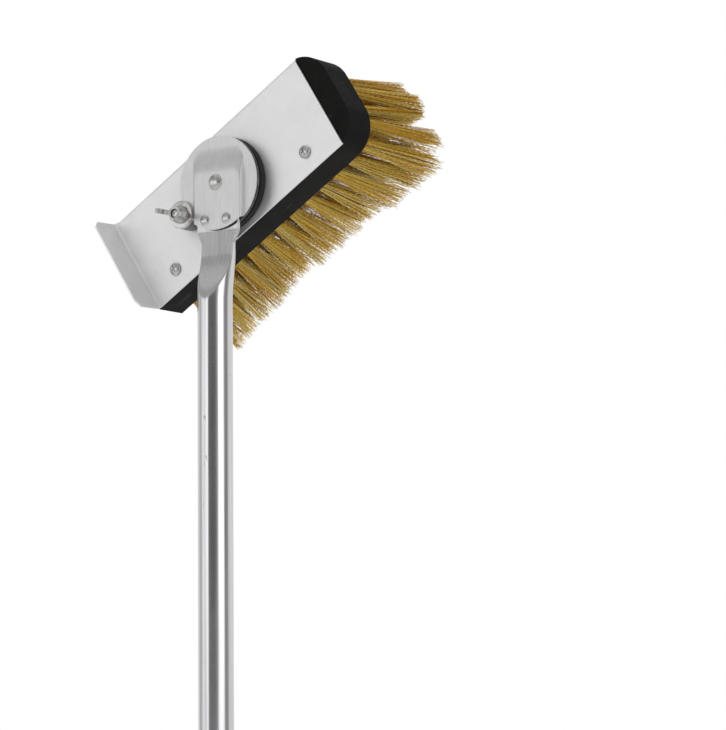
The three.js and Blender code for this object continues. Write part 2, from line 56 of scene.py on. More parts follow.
PIVOT_HEIGHT = 1100
TUBE_RADIUS = 12.5
FLAT_WIDTH = 36.4
FLAT_THICKNESS = 3
FLAT_SET_BACK = 4.5
FLAT_ABOVE_PIVOT = 12.2
NECK_LENGTH = 54
NECK_RAMP = 0.66
NECK_RAMP_DEPTH = 0.75
NECK_SWELL = 1.2
NECK_SPREAD_START = 0.8
DISC_RADIUS = 34
PRESSING_CORNER = 6
SIDE_SLOPE = 1.7
END_SLOPE = 3.7
PRESSING_ROOM = 0.8  # round the flat end, beyond the gap
DISC_SHEET = 0.9
TUBE_WALL = 1
GRIP_LENGTH = 201
GRIP_BUTT_ROUNDING = 6.5
GRIP_HAND_END = 88
GRIP_WAIST_RADIUS = 15.2
GRIP_WAIST_START = 113
GRIP_WAIST_END = 130
GRIP_COLLAR_START = 160
GRIP_CHAMFER_START = 189
GRIP_MOUTH_RADIUS = 16.5
SLOT_WIDTH = 21
SLOT_HEIGHT = 48.5
SLOT_CENTRE = 46
HEAD_TILT = 32.3
PLATE_LENGTH = 192.5
PLATE_WIDTH = 77
LIP_REACH = 98
FREE_REACH = 37.5
PLATE_SHEET = 1.2
BLOCK_THICKNESS = 26.5
NOSE_REACH = 16.5
NOSE_PROUD = 2
NOSE_CORNER = 24
STUD_REACH = 37.5
STUD_RADIUS = 3
STUD_PROUD = 6.5  # beyond the clamp washer
STUD_HEAD_RADIUS = 6
STUD_HEAD_HEIGHT = 2.5
CLAMP_WASHER_RADIUS = 10
PIVOT_RIVET = {"head_radius": 5.85, "head_height": 2.9, "tail_radius": 5.5, "tail_front": 18.2,
               "tail_height": 2.4}
DISC_RIVET = {"head_radius": 4.05, "head_height": 1.8, "tail_radius": 3.2, "tail_front": 7.6,
              "tail_height": 1.6}
DISC_RIVET_ACROSS = 9.5
DISC_RIVET_BELOW = 26.6
ROW_COUNT = 5
ROOT_INSET = 8
ROOT_THICKNESS = 6.4
ROW_LEAN = -9
ROW_FAN = 2
WIRE_DEPTH = 80

PRESSING_FRONT = 1.5
RIM_FRONT = 4.8
REAR_DISC_FRONT = 6.3
REAR_DISC_BACK = 7.3
PUCK_FRONT = 9.4
PUCK_BACK = 15.1
PLATE_FRONT = 15.4
BLOCK_FRONT = PLATE_FRONT + PLATE_SHEET + GAP
BLOCK_BACK = BLOCK_FRONT + BLOCK_THICKNESS
WASHER_BACK = 4.5
WASHER_FRONT = 1

LIP_END = -LIP_REACH
NOSE_END = PLATE_LENGTH - LIP_REACH
FREE_EDGE = -FREE_REACH
FLANGE_EDGE = PLATE_WIDTH - FREE_REACH
BLOCK_TOP = FLANGE_EDGE - PLATE_SHEET - GAP
NOSE_TOP = FLANGE_EDGE + NOSE_PROUD
NOSE = NOSE_END + NOSE_REACH

POLE = Matrix.Identity(4)
AT_PIVOT = Matrix.Translation((0, 0, PIVOT_HEIGHT * MM))
HEAD = AT_PIVOT @ Matrix.Rotation(math.radians(-HEAD_TILT), 4, "Y")
STUD = HEAD @ Matrix.Translation((-STUD_REACH * MM, 0, 0))

# ---- Camera: the photograph's viewing angle ----

CAMERA_AZIMUTH = math.radians(37)
CAMERA_ELEVATION = math.radians(-10)
CAMERA_DISTANCE = 2.5
CAMERA_ROLL = math.radians(-0.45)
LENS = 173
AIM_RIGHT = 0.1027  # from the pivot to the middle of the picture
AIM_DOWN = 0.1299

toward = Vector((
    math.sin(CAMERA_AZIMUTH) * math.cos(CAMERA_ELEVATION),
    -math.cos(CAMERA_AZIMUTH) * math.cos(CAMERA_ELEVATION),
    math.sin(CAMERA_ELEVATION),
))
pivot = Vector((0, FLAT_SET_BACK * MM, PIVOT_HEIGHT * MM))
right = Vector((0, 0, 1)).cross(toward).normalized()
up = toward.cross(right)
station = pivot + toward * CAMERA_DISTANCE
aim = pivot + right * AIM_RIGHT - up * AIM_DOWN
camera_data = bpy.data.cameras.new("camera")
camera_data.lens = LENS
camera_data.clip_end = 50
camera = bpy.data.objects.new("camera", camera_data)
bpy.context.scene.collection.objects.link(camera)
look = (aim - station).to_track_quat("-Z", "Y").to_matrix().to_4x4()
camera.matrix_world = Matrix.Translation(station) @ look @ Matrix.Rotation(CAMERA_ROLL, 4, "Z")
bpy.context.scene.camera = camera
bpy.context.scene.view_settings.view_transform = "Standard"


# ---- Materials ----


class Nodes:
    """A material's node tree, with short calls for the nodes that the finishes share."""

    def __init__(self, name, **constants):
        self.material = bpy.data.materials.new(name)
        self.material.use_nodes = True
        self.tree = self.material.node_tree
        self.shader = self.tree.nodes["Principled BSDF"]
        self.coordinates = self.tree.nodes.new("ShaderNodeTexCoord").outputs["Object"]
        for socket, value in constants.items():
            self.shader.inputs[socket.replace("_", " ")].default_value = value

    def link(self, source, target):
        self.tree.links.new(source, target)

    def stretched(self, scale):
        """Object coordinates in metres, scaled by axis."""
        node = self.tree.nodes.new("ShaderNodeMapping")
        node.inputs["Scale"].default_value = scale
        self.link(self.coordinates, node.inputs["Vector"])
        return node.outputs["Vector"]

    def noise(self, vector, scale, detail=3, roughness=0.5, distortion=0):
        node = self.tree.nodes.new("ShaderNodeTexNoise")
        self.link(vector, node.inputs["Vector"])
        node.inputs["Scale"].default_value = scale
        node.inputs["Detail"].default_value = detail
        node.inputs["Roughness"].default_value = roughness
        node.inputs["Distortion"].default_value = distortion
        return node.outputs["Fac"]

    def ramp(self, value, *stops):
        """A colour ramp; a stop is (position, grey or (r, g, b))."""
        node = self.tree.nodes.new("ShaderNodeValToRGB")
        self.link(value, node.inputs["Fac"])
        elements = node.color_ramp.elements
        while len(elements) < len(stops):
            elements.new(0.5)
        for element, (position, colour) in zip(elements, stops):
            element.position = position
            rgb = colour if isinstance(colour, tuple) else (colour,) * 3
            element.color = (*rgb, 1)
        return node.outputs["Color"]

    def span(self, value, low, high, new_low, new_high):
        node = self.tree.nodes.new("ShaderNodeMapRange")
        self.link(value, node.inputs["Value"])
        ends = {"From Min": low, "From Max": high, "To Min": new_low, "To Max": new_high}
        for socket, number in ends.items():
            node.inputs[socket].default_value = number
        return node.outputs["Result"]

    def math(self, operation, first, second):
        node = self.tree.nodes.new("ShaderNodeMath")
        node.operation = operation
        for socket, source in zip(node.inputs, (first, second)):
            if isinstance(source, (int, float)):
                socket.default_value = source
            else:
                self.link(source, socket)
        return node.outputs["Value"]

    def mix(self, factor, first, second):
        """Colour mix; a colour may be a tuple, and the factor a number."""
        node = self.tree.nodes.new("ShaderNodeMix")
        node.data_type = "RGBA"
        sockets = [s for s in node.inputs if s.enabled]
        for socket, source in zip(sockets, (factor, first, second)):
            if isinstance(source, (int, float)):
                socket.default_value = source
            elif isinstance(source, tuple):
                socket.default_value = (*source, 1)
            else:
                self.link(source, socket)
        return next(s for s in node.outputs if s.enabled)

    def axis(self, name):
        node = self.tree.nodes.new("ShaderNodeSeparateXYZ")
        self.link(self.coordinates, node.inputs["Vector"])
        return node.outputs[name]

    def colour(self, source):
        self.link(source, self.shader.inputs["Base Color"])

    def roughness(self, source):
        self.link(source, self.shader.inputs["Roughness"])

    def bump(self, height, strength, distance):
        node = self.tree.nodes.new("ShaderNodeBump")
        node.inputs["Strength"].default_value = strength
        node.inputs["Distance"].default_value = distance
        self.link(height, node.inputs["Height"])
        self.link(node.outputs["Normal"], self.shader.inputs["Normal"])


def scratches(nodes, along, scale, sharpness):
    """Sparse hairlines drawn out along one axis, 0 to 1."""
    fine = nodes.noise(nodes.stretched(along), scale, 2, 0.6)
    return nodes.ramp(fine, (sharpness, 0), (sharpness + 0.04, 1))


def drawn_steel():
    """The tube: polished, with drawing lines down it, smears, and worn scuffs near the neck."""
    nodes = Nodes("drawn_steel", Metallic=1)
    lines = nodes.noise(nodes.stretched((1, 1, 0.012)), 900, 3, 0.6)
    smears = nodes.noise(nodes.stretched((1, 1, 0.35)), 22, 4, 0.6, 0.4)
    scuffs = nodes.noise(nodes.stretched((1, 1, 0.22)), 330, 3, 0.65, 0.3)
    marks = nodes.ramp(scuffs, (0.66, 0), (0.7, 1))
    height = nodes.axis("Z")
    above = nodes.span(height, 0.86, 0.9, 0, 1)
    below = nodes.span(height, 1, 0.975, 0, 1)
    worn = nodes.math("MULTIPLY", nodes.math("MULTIPLY", above, below), marks)
    tone = nodes.ramp(lines, (0.3, (0.56, 0.56, 0.57)), (0.7, (0.68, 0.68, 0.69)))
    tone = nodes.mix(nodes.math("MULTIPLY", worn, 0.55), tone, (0.16, 0.155, 0.15))
    nodes.colour(tone)
    rough = nodes.span(smears, 0.3, 0.7, 0.1, 0.2)
    nodes.roughness(nodes.math("ADD", rough, nodes.math("MULTIPLY", worn, 0.25)))
    nodes.bump(nodes.math("ADD", lines, nodes.math("MULTIPLY", worn, -0.6)), 0.1, 0.0002)
    return nodes.material


def sheet_steel():
    """The scraper plate: bright rolled sheet with faint rolling lines, smears and scratches."""
    nodes = Nodes("sheet_steel", Metallic=0.65)
    lines = nodes.noise(nodes.stretched((0.02, 1, 1)), 700, 3, 0.6)
    clouds = nodes.noise(nodes.stretched((1, 1, 1)), 26, 5, 0.6, 1.2)
    scores = scratches(nodes, (0.05, 1, 1), 260, 0.7)
    tone = nodes.ramp(clouds, (0.35, (0.76, 0.76, 0.765)), (0.65, (0.84, 0.84, 0.845)))
    tone = nodes.mix(nodes.math("MULTIPLY", scores, 0.25), tone, (0.5, 0.5, 0.5))
    nodes.colour(tone)
    nodes.roughness(nodes.span(clouds, 0.3, 0.7, 0.36, 0.46))
    nodes.bump(nodes.math("ADD", lines, nodes.math("MULTIPLY", clouds, 0.5)), 0.04, 0.0003)
    return nodes.material


def brushed_steel():
    """The pressed disc: brushed grey steel, duller than the plate."""
    nodes = Nodes("brushed_steel", Metallic=1)
    lines = nodes.noise(nodes.stretched((1, 1, 0.04)), 1100, 3, 0.65)
    clouds = nodes.noise(nodes.stretched((1, 1, 1)), 60, 4, 0.6, 0.8)
    tone = nodes.ramp(lines, (0.3, (0.68, 0.68, 0.68)), (0.7, (0.8, 0.8, 0.8)))
    nodes.colour(nodes.mix(nodes.span(clouds, 0.35, 0.65, 0, 0.35), tone, (0.86, 0.86, 0.86)))
    nodes.roughness(nodes.span(clouds, 0.3, 0.7, 0.4, 0.5))
    nodes.bump(nodes.math("ADD", lines, clouds), 0.1, 0.0003)
    return nodes.material


def plated_hardware(name, roughest, smoothest):
    """Screws, rivets, washer, stud and wing nut: bright plated metal with small pits, and dark
    blotches of painted shade and painted reflection in its colour.
    """
    nodes = Nodes(name, Metallic=1)
    pits = nodes.noise(nodes.stretched((1, 1, 1)), 260, 3, 0.5)
    # painted shade: large dark blotches in the colour stand in for the dark reflections and shaded
    # edges of the hardware; roughness follows the same blotches
    painted_shade_blotches = nodes.noise(nodes.stretched((1, 1, 1)), 150, 4, 0.6, 0.6)
    tone = nodes.ramp(painted_shade_blotches, (0.34, (0.36, 0.355, 0.345)), (0.52, (0.62, 0.615, 0.6)))
    nodes.colour(tone)
    nodes.roughness(nodes.span(painted_shade_blotches, 0.3, 0.7, roughest, smoothest))
    nodes.bump(pits, 0.02, 0.0002)
    return nodes.material


def dark_steel():
    """Hidden and back pieces: grey zinc-dull steel."""
    nodes = Nodes("dark_steel", Metallic=1)
    clouds = nodes.noise(nodes.stretched((1, 1, 1)), 180, 4, 0.6, 0.5)
    grain = nodes.noise(nodes.stretched((1, 1, 1)), 1500, 2, 0.6)
    nodes.colour(nodes.ramp(clouds, (0.35, (0.16, 0.16, 0.165)), (0.68, (0.3, 0.3, 0.3))))
    nodes.roughness(nodes.span(clouds, 0.3, 0.7, 0.36, 0.52))
    nodes.bump(grain, 0.2, 0.0002)
    return nodes.material


def varnished_wood():
    """The grip: turned beech under brown varnish, grain down its length with dark pores."""
    nodes = Nodes("varnished_wood", Coat_Weight=0.8, Coat_Roughness=0.12, IOR=1.5)
    bands = nodes.noise(nodes.stretched((1, 1, 0.06)), 120, 4, 0.6, 1.2)
    fibres = nodes.noise(nodes.stretched((1, 1, 0.03)), 700, 4, 0.65, 0.2)
    pores = nodes.noise(nodes.stretched((1, 1, 0.08)), 1500, 2, 0.5)
    tone = nodes.ramp(
        bands,
        (0.28, (0.2, 0.075, 0.012)),
        (0.45, (0.34, 0.15, 0.032)),
        (0.6, (0.47, 0.24, 0.062)),
        (0.78, (0.3, 0.125, 0.024)),
    )
    tone = nodes.mix(nodes.span(fibres, 0.35, 0.65, 0, 0.6), tone, (0.55, 0.31, 0.1))
    dark = nodes.ramp(pores, (0.66, 0), (0.72, 1))
    nodes.colour(nodes.mix(nodes.math("MULTIPLY", dark, 0.6), tone, (0.09, 0.03, 0.006)))
    nodes.roughness(nodes.span(fibres, 0.3, 0.7, 0.3, 0.45))
    nodes.bump(nodes.math("SUBTRACT", fibres, dark), 0.15, 0.0003)
    return nodes.material


def black_block():
    """The backing block: black moulded composite with shallow mottling and handling marks."""
    nodes = Nodes("black_block", IOR=1.48, Specular_IOR_Level=0.08)
    mottle = nodes.noise(nodes.stretched((1, 1, 1)), 60, 5, 0.65, 0.5)
    grain = nodes.noise(nodes.stretched((0.3, 1, 1)), 900, 4, 0.65)
    rubs = scratches(nodes, (0.2, 1, 1), 110, 0.66)
    tone = nodes.ramp(mottle, (0.3, (0.004, 0.0038, 0.0036)), (0.7, (0.009, 0.0086, 0.008)))
    nodes.colour(nodes.mix(nodes.math("MULTIPLY", rubs, 0.35), tone, (0.06, 0.055, 0.05)))
    nodes.roughness(nodes.span(mottle, 0.3, 0.7, 0.42, 0.62))
    nodes.bump(nodes.math("ADD", grain, mottle), 0.25, 0.0004)
    return nodes.material


def black_pad():
    """The friction puck: matt black rubber-like plastic."""
    nodes = Nodes("black_pad", IOR=1.45)
    grain = nodes.noise(nodes.stretched((1, 1, 1)), 1400, 3, 0.6)
    dust = nodes.noise(nodes.stretched((1, 1, 1)), 130, 4, 0.6)
    nodes.colour(nodes.ramp(dust, (0.4, (0.009, 0.009, 0.009)), (0.75, (0.02, 0.02, 0.019))))
    nodes.roughness(nodes.span(dust, 0.3, 0.7, 0.6, 0.78))
    nodes.bump(grain, 0.25, 0.0003)
    return nodes.material


def brass_wire():
    """The wires: drawn brass, each wire a little lighter or browner than the next."""
    nodes = Nodes("brass_wire", Metallic=0.4, Specular_IOR_Level=0.2)
    island = nodes.tree.nodes.new("ShaderNodeNewGeometry").outputs["Random Per Island"]
    tarnish = nodes.noise(nodes.stretched((1, 1, 1)), 160, 3, 0.6)
    tone = nodes.ramp(
        island,
        (0.0, (0.2, 0.08, 0.006)),
        (0.25, (0.95, 0.5, 0.04)),
        (0.6, (1, 0.74, 0.12)),
        (1.0, (1, 0.94, 0.45)),
    )
    nodes.colour(nodes.mix(nodes.span(tarnish, 0.4, 0.7, 0, 0.25), tone, (0.55, 0.32, 0.06)))
    nodes.roughness(nodes.span(tarnish, 0.3, 0.7, 0.32, 0.46))
    return nodes.material


FINISH = {
    "polished_steel": drawn_steel(),
    "sheet_steel": sheet_steel(),
    "brushed_steel": brushed_steel(),
    "bright_hardware": plated_hardware("bright_hardware", 0.3, 0.2),
    "cast_hardware": plated_hardware("cast_hardware", 0.5, 0.4),
    "dark_steel": dark_steel(),
    "varnished_wood": varnished_wood(),
    "black_block": black_block(),
    "black_pad": black_pad(),
    "brass_wire": brass_wire(),
}


# ---- Mesh helpers ----


def add_piece(name, mesh, body, slot, place, nodes, finish=None, crease=35):
    """An object from a mesh in metres, riding on a body and standing for some CAD nodes."""
    piece = bpy.data.objects.new(name, mesh)
    bpy.context.scene.collection.objects.link(piece)
    piece.matrix_world = place
    mesh.materials.clear()
    mesh.materials.append(FINISH[finish or slot])
    mesh.polygons.foreach_set("use_smooth", [True] * len(mesh.polygons))
    if crease:
        mesh.set_sharp_from_angle(angle=math.radians(crease))
    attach(piece, body)
    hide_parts(*nodes)
    return piece


def mesh_from(name, points, faces):
    """A mesh from points in millimetres."""
    mesh = bpy.data.meshes.new(name)
    mesh.from_pydata([Vector(p) * MM for p in points], [], faces)
    tidy = bmesh.new()
    tidy.from_mesh(mesh)
    bmesh.ops.remove_doubles(tidy, verts=tidy.verts, dist=1e-7)
    bmesh.ops.recalc_face_normals(tidy, faces=tidy.faces)
    tidy.to_mesh(mesh)
    tidy.free()
    return mesh


def ring_faces(ring_count, size, closed=True):
    """Quads between successive rings of the same size."""
    faces = []
    for ring in range(ring_count - 1):
        for i in range(size if closed else size - 1):
            a = ring * size + i
            b = ring * size + (i + 1) % size
            faces.append((a, b, b + size, a + size))
    return faces


def lofted(name, rings):
    """A closed skin through rings of points, capped at both ends."""
    size = len(rings[0])
    points = [p for ring in rings for p in ring]
    faces = ring_faces(len(rings), size)
    faces.append(tuple(reversed(range(size))))
    faces.append(tuple(range((len(rings) - 1) * size, len(rings) * size)))
    return mesh_from(name, points, faces)


def turned(name, profile, segments=96, along="Y"):
    """A skin turned about Y or Z; the profile's points are (radius, level)."""
    rings = []
    for radius, level in profile:
        ring = []
        for i in range(segments):
            angle = i / segments * math.tau
            a, b = radius * math.cos(angle), radius * math.sin(angle)
            ring.append((a, level, b) if along == "Y" else (a, b, level))
        rings.append(ring)
    return lofted(name, rings)


def dome(radius, height, edge, back, steps=14):
    """Profile points of a domed head whose crown faces -Y and whose underside is at a level."""
    points = []
    for i in range(steps + 1):
        angle = i / steps * math.pi / 2
        across = max(radius * math.sin(angle), 0.02)
        points.append((across, back - edge - (height - edge) * math.cos(angle)))
    points += [(radius, back - 0.2), (radius - 0.2, back)]
    return points


def smoothstep(value):
    value = min(max(value, 0), 1)
    return value * value * (3 - 2 * value)


def mixed(a, b, share):
    return a + (b - a) * share


def copied(node, place):
    """A CAD node's mesh as a new mesh in the frame of a place, with its flat faces merged."""
    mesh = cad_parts[node].data.copy()
    mesh.transform(place.inverted())
    tidy = bmesh.new()
    tidy.from_mesh(mesh)
    bmesh.ops.remove_doubles(tidy, verts=tidy.verts, dist=1e-6)
    bmesh.ops.dissolve_limit(
        tidy, angle_limit=math.radians(0.5), verts=tidy.verts, edges=tidy.edges)
    tidy.to_mesh(mesh)
    tidy.free()
    return mesh


def soften(piece, width, segments=2, angle=40):
    """Rounds a piece's edges, and keeps its flat faces flat to the light."""
    bevel = piece.modifiers.new("edges", "BEVEL")
    bevel.width = width * MM
    bevel.segments = segments
    bevel.limit_method = "ANGLE"
    bevel.angle_limit = math.radians(angle)
    flat = piece.modifiers.new("flats", "WEIGHTED_NORMAL")
    flat.weight = 100
    flat.keep_sharp = True


def apply_modifiers(piece):
    graph = bpy.context.evaluated_depsgraph_get()
    made = bpy.data.meshes.new_from_object(piece.evaluated_get(graph), depsgraph=graph)
    piece.modifiers.clear()
    old = piece.data
    piece.data = made
    bpy.data.meshes.remove(old)
    return made


def remeshed(name, mesh, voxel, passes, cutter):
    """A mesh less a cutter, rebuilt in small even cells with its edges worn round."""
    shape = bpy.data.objects.new(name, mesh)
    bpy.context.scene.collection.objects.link(shape)
    cut = shape.modifiers.new("cut", "BOOLEAN")
    cut.operation = "DIFFERENCE"
    cut.solver = "EXACT"
    cut.object = cutter
    remesh = shape.modifiers.new("cells", "REMESH")
    remesh.mode = "VOXEL"
    remesh.voxel_size = voxel * MM
    smooth = shape.modifiers.new("wear", "SMOOTH")
    smooth.factor = 0.5
    smooth.iterations = passes
    made = apply_modifiers(shape)
    bpy.data.objects.remove(shape)
    bpy.data.objects.remove(cutter)
    return made


# ---- Pole tube ----

TUBE_SEGMENTS = 192
CREASE_ROUNDING = 1.4


def rounded_max(a, b):
    """The larger of two levels, with the corner between them rounded."""
    near = max(CREASE_ROUNDING - abs(a - b), 0) / CREASE_ROUNDING
    return max(a, b) + near * near * CREASE_ROUNDING / 4


def tube_section(z, share):
    """The tube pressed between two planes, from round at share 0 to flat at share 1."""
    pressed = smoothstep(share)
    swollen = NECK_SWELL * smoothstep(share / NECK_SPREAD_START)
    spread = smoothstep((share - NECK_SPREAD_START) / (1 - NECK_SPREAD_START))
    half_width = mixed(TUBE_RADIUS + swollen, FLAT_WIDTH / 2, spread)
    centre = mixed(0, FLAT_SET_BACK, pressed)
    clear = TUBE_RADIUS + CREASE_ROUNDING
    ramped = mixed(share, smoothstep(share / NECK_RAMP), NECK_RAMP_DEPTH)
    front = mixed(-clear, FLAT_SET_BACK - FLAT_THICKNESS / 2, ramped)
    back = mixed(clear, FLAT_SET_BACK + FLAT_THICKNESS / 2, pressed)
    ring = []
    for i in range(TUBE_SEGMENTS):
        angle = i / TUBE_SEGMENTS * math.tau
        y = rounded_max(centre + TUBE_RADIUS * math.sin(angle), front)
        ring.append((half_width * math.cos(angle), -rounded_max(-y, -back), z))
    return ring


def pole_tube():
    flat_start = PIVOT_HEIGHT - DISC_RADIUS
    neck_start = flat_start - NECK_LENGTH
    bottom = GRIP_LENGTH + GAP
    steps = 64
    straight = 24
    rings = [tube_section(bottom, 0), tube_section(bottom + 0.4, 0)]
    rings.insert(0, [(x * 0.965, y * 0.965, z) for x, y, z in rings[0]])
    rings += [tube_section(mixed(bottom + 1, neck_start, i / straight), 0) for i in range(straight)]
    for i in range(steps + 1):
        rings.append(tube_section(neck_start + NECK_LENGTH * i / steps, i / steps))
    corner = PRESSING_CORNER - GAP
    top = PIVOT_HEIGHT + FLAT_ABOVE_PIVOT
    for i in range(9):
        turn = i / 8 * math.pi / 2
        inset = corner * (1 - math.cos(turn))
        level = top - corner + corner * math.sin(turn)
        narrow = 1 - inset / (FLAT_WIDTH / 2)
        rings.append([(x * narrow, y, level) for x, y, _ in tube_section(0, 1)])
    add_piece("pole_tube_skin", lofted("pole_tube_skin", rings), "pole", "polished_steel", POLE,
              ["pole_tube"], crease=50)


pole_tube()


# ---- Grip ----


def grip_profile():
    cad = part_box("grip")
    top = cad[1].z / MM
    radius = cad[1].x / MM
    rounding = GRIP_BUTT_ROUNDING
    points = [(0.3, 0)]
    for i in range(13):
        angle = i / 12 * math.pi / 2
        points.append((radius - rounding * (1 - math.sin(angle)), rounding * (1 - math.cos(angle))))
    for start, end, first, last in (
        (GRIP_HAND_END, GRIP_WAIST_START, radius, GRIP_WAIST_RADIUS),
        (GRIP_WAIST_END, GRIP_COLLAR_START, GRIP_WAIST_RADIUS, radius),
    ):
        for i in range(25):
            share = i / 24
            points.append((mixed(first, last, smoothstep(share)), mixed(start, end, share)))
    spigot = TUBE_RADIUS - TUBE_WALL - GAP
    points += [(radius, GRIP_CHAMFER_START), (GRIP_MOUTH_RADIUS, GRIP_LENGTH)]
    points += [(spigot, GRIP_LENGTH), (spigot, top), (0.3, top)]
    return points


def slot_cutter():
    half = SLOT_WIDTH / 2
    straight = (SLOT_HEIGHT - SLOT_WIDTH) / 2
    centre = SLOT_CENTRE
    reach = 30  # past both sides of the grip
    outline = []
    for i in range(33):
        angle = i / 32 * math.pi
        outline.append((half * math.cos(angle), centre + straight + half * math.sin(angle)))
    for i in range(33):
        angle = math.pi + i / 32 * math.pi
        outline.append((half * math.cos(angle), centre - straight + half * math.sin(angle)))
    rings = [[(x, y, z) for x, z in outline] for y in (-reach, reach)]
    cutter = bpy.data.objects.new("slot_cutter", lofted("slot_cutter", rings))
    bpy.context.scene.collection.objects.link(cutter)
    return cutter


def grip():
    body = turned("grip_body", grip_profile(), 160, "Z")
    mesh = remeshed("grip_body", body, 0.75, 5, slot_cutter())
    add_piece("grip_turned", mesh, "pole", "varnished_wood", POLE, ["grip"], crease=None)


grip()

# ---- Discs, rivets and washer ----


def swivel_disc():
    half_width = FLAT_WIDTH / 2 + GAP + PRESSING_ROOM
    top = FLAT_ABOVE_PIVOT + GAP + PRESSING_ROOM
    steps = 24
    arc_steps = 12
    rings = []
    for step in range(steps + 1):
        share = step / steps
        end = mixed(-7, END_SLOPE + 9.3, share)
        level = mixed(PRESSING_FRONT, RIM_FRONT, smoothstep(share))
        arms = []
        left_side = mixed(-1.3, SIDE_SLOPE + 1.2, share)
        right_side = mixed(1.6, SIDE_SLOPE + 1, share)
        for side in (left_side, right_side):
            half, corner = half_width + side, PRESSING_CORNER + side
            arm = [(half, level, -math.sqrt(DISC_RADIUS ** 2 - half ** 2))]
            for i in range(arc_steps + 1):
                angle = i / arc_steps * math.pi / 2
                arm.append((half - corner + corner * math.cos(angle), level,
                            top + end - corner + corner * math.sin(angle)))
            arms.append(arm)
        rings.append([(-x, y, z) for x, y, z in arms[0]] + arms[1][::-1])
    size = len(rings[0])
    points = [p for ring in rings for p in ring]
    faces = ring_faces(len(rings), size, closed=False)

    def arc(start, end, level, count):
        """Points on the rim, not counting its two ends."""
        base = len(points)
        for i in range(1, count):
            angle = mixed(start, end, i / count)
            points.append((DISC_RADIUS * math.cos(angle), level, DISC_RADIUS * math.sin(angle)))
        return list(range(base, base + count - 1))

    first_left, first_right = rings[0][0], rings[0][-1]
    last_left, last_right = rings[-1][0], rings[-1][-1]
    start = math.atan2(first_right[2], first_right[0])
    end = math.atan2(first_left[2], first_left[0])
    bottom = arc(start, end, PRESSING_FRONT, 24)
    faces.append(tuple(list(range(size)) + bottom))
    start = math.atan2(last_right[2], last_right[0])
    end = math.atan2(last_left[2], last_left[0]) + math.tau
    rim = arc(start, end, RIM_FRONT, 120)
    outer = list(range((len(rings) - 1) * size, len(rings) * size))
    faces.append(tuple(outer[::-1] + rim[::-1]))
    mesh = mesh_from("swivel_disc_sheet", points, faces)
    disc = add_piece("swivel_disc_sheet", mesh, "pole", "brushed_steel", AT_PIVOT, ["swivel_disc"],
                     crease=50)
    sheet = disc.modifiers.new("sheet", "SOLIDIFY")
    sheet.thickness = DISC_SHEET * MM
    sheet.offset = -1
    soften(disc, 0.25, 2, 60)


swivel_disc()

AXIS_RADIUS = 0.05  # where a turned profile starts


def coin(name, radius, front, back, edge, body, slot, place, node):
    """A turned disc with rounded edges."""
    profile = [(AXIS_RADIUS, front)]
    for i in range(7):
        angle = i / 6 * math.pi / 2
        in_by, back_by = edge * (1 - math.sin(angle)), edge * (1 - math.cos(angle))
        profile.append((radius - in_by, front + back_by))
    for i in range(7):
        angle = i / 6 * math.pi / 2
        profile.append((radius - edge * (1 - math.cos(angle)), back - edge * (1 - math.sin(angle))))
    profile.append((AXIS_RADIUS, back))
    return add_piece(name, turned(name, profile, 128), body, slot, place, [node])


coin("rear_disc_sheet", DISC_RADIUS, REAR_DISC_FRONT, REAR_DISC_BACK, 0.3, "pole", "dark_steel",
     AT_PIVOT, "rear_disc")
coin("friction_puck_pad", DISC_RADIUS, PUCK_FRONT, PUCK_BACK, 1, "head", "black_pad", HEAD,
     "friction_puck")
coin("clamp_washer_ring", CLAMP_WASHER_RADIUS, WASHER_FRONT, WASHER_BACK, 0.5, "clamp",
     "bright_hardware", STUD, "clamp_washer")


def rivet(name, node, x, z, head_radius, head_height, tail_radius, tail_front, tail_height):
    under = PRESSING_FRONT - GAP
    shank = head_radius * 0.5
    profile = dome(head_radius, head_height, 0.5, under)
    profile += [(shank, under), (shank, tail_front), (tail_radius, tail_front)]
    tail_back = tail_front + tail_height
    profile += [(tail_radius, tail_back - 0.4), (tail_radius - 0.4, tail_back)]
    place = AT_PIVOT @ Matrix.Translation((x * MM, 0, z * MM))
    add_piece(name, turned(name, profile, 64), "pole", "bright_hardware", place, [node])


rivet("pivot_rivet_head", "pivot_rivet", 0, 0, **PIVOT_RIVET)
for side, label in ((-1, "left"), (1, "right")):
    rivet(f"disc_rivet_{label}_head", f"disc_rivet_{label}", side * DISC_RIVET_ACROSS,
          -DISC_RIVET_BELOW, **DISC_RIVET)

# ---- Plate, block and screws from the CAD shapes ----

plate = add_piece("scraper_plate_sheet", copied("scraper_plate", HEAD), "head", "polished_steel",
                  HEAD, ["scraper_plate"], finish="sheet_steel", crease=None)
soften(plate, 0.2, 2, 50)
block = add_piece("backing_block_body", copied("backing_block", HEAD), "head", "black_block", HEAD,
                  ["backing_block"], crease=None)
soften(block, 2.4, 5, 50)
heel = add_piece("clamp_heel_body", copied("clamp_heel", HEAD), "head", "dark_steel", HEAD,
                 ["clamp_heel"], crease=None)
soften(heel, 0.4, 2, 50)
for node, body, place in (
    ("plate_screw_lip_end", "head", HEAD),
    ("plate_screw_nose_end", "head", HEAD),
    ("grip_screw", "pole", POLE),
):
    screw = add_piece(f"{node}_body", copied(node, place), body, "bright_hardware", place, [node],
                      crease=None)
    soften(screw, 0.12, 2, 50)

# ---- Stud and wing nut ----


